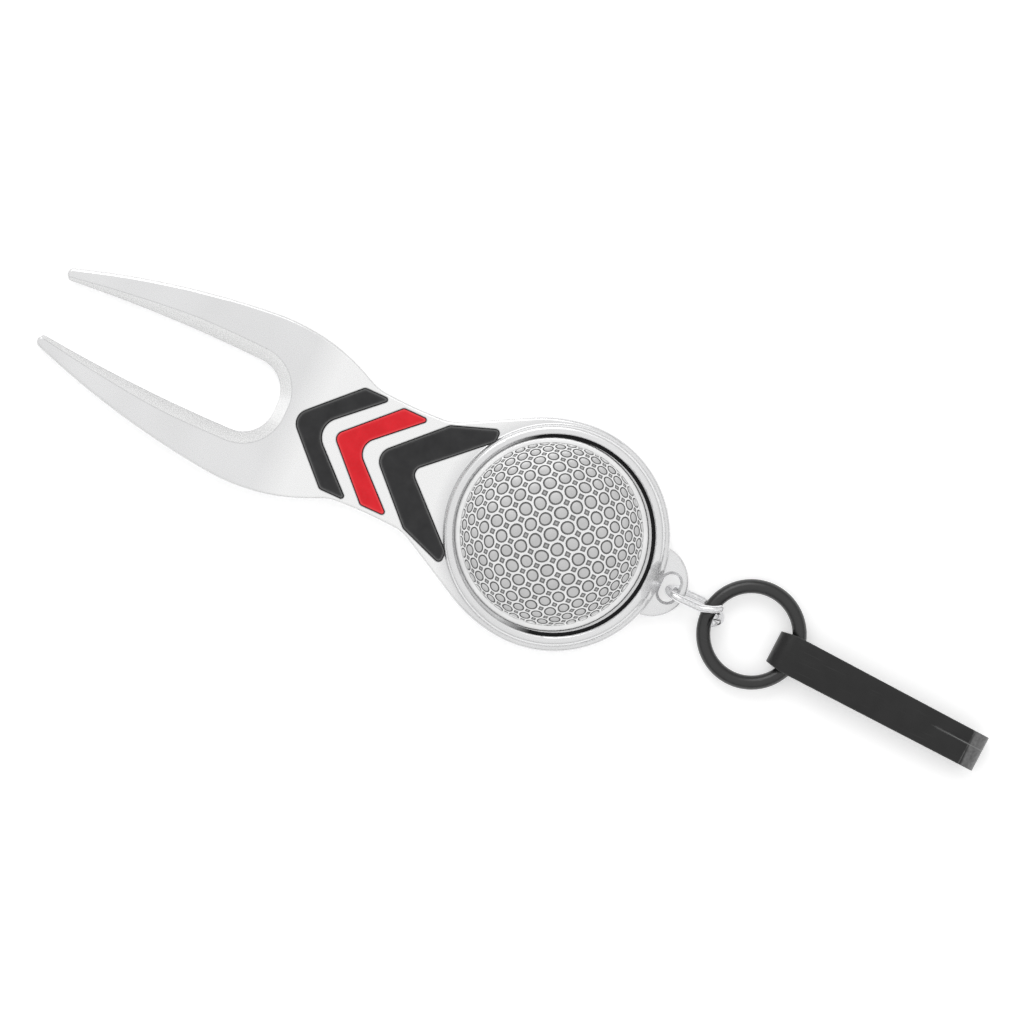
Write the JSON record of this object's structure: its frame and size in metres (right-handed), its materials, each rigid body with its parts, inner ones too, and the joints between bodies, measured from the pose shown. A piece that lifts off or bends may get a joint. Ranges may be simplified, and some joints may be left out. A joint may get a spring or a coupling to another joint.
{
  "type": "divot repair tool",
  "caption": "Flat two-prong fork for mending golf greens, with chevron inlays, a removable magnetic ball marker, and a folded belt clip on linked rings.",
  "frame": {"origin": "centre of the round head, on the tool's flat back", "axes": "+X from the fork to the lug and clip, +Z out of the marked face, +Y across the tool"},
  "size_m": [0.1291, 0.029, 0.0046],
  "materials": {
    "plated_body": "bright nickel plate on a zinc casting, lightly polished",
    "black_inlay": "glossy black enamel fill",
    "red_inlay": "glossy red enamel fill",
    "magnet": "nickel plated disc magnet",
    "marker_metal": "struck and plated steel, grey in the hollows",
    "bright_wire": "bright plated wire",
    "black_wire": "glossy black plate",
    "black_strip": "satin gloss black coat on spring steel"
  },
  "bodies": {
    "tool": {"tool_body": "plated_body", "front_chevron": "black_inlay", "middle_chevron": "red_inlay", "rear_chevron": "black_inlay", "marker_magnet": "magnet"},
    "marker": {"ball_marker": "marker_metal"},
    "jump_link": {"jump_ring": "bright_wire"},
    "carrier": {"carrier_ring": "black_wire"},
    "clip": {"clip_arm": "black_strip"},
    "tongue": {"clip_tongue": "black_strip"}
  },
  "joints": [
    {"name": "marker_lift", "type": "slide", "parent": "tool", "child": "marker", "axis": [0, 0, 1], "range_m": [0, 0.012]},
    {"name": "jump_ring_swing", "type": "hinge", "parent": "tool", "child": "jump_link", "pos_m": [0.01595, -0.00018, 0.00224], "axis": [0, 0, 1], "range_deg": [-50, 50]},
    {"name": "carrier_ring_tilt", "type": "hinge", "parent": "jump_link", "child": "carrier", "pos_m": [0.02168, -0.00018, 0.0022], "axis": [0, 1, 0], "range_deg": [-90, 90]},
    {"name": "clip_fold", "type": "hinge", "parent": "carrier", "child": "clip", "pos_m": [0.03335, -0.00131, 0.0021], "axis": [-0.0541, -0.9985, 0], "range_deg": [-120, 120]},
    {"name": "clip_flex", "type": "hinge", "parent": "clip", "child": "tongue", "pos_m": [0.05951, -0.00273, 0.0021], "axis": [-0.0541, -0.9985, 0], "range_deg": [0, 8], "stiffness_Nm_per_rad": 0.3}
  ]
}
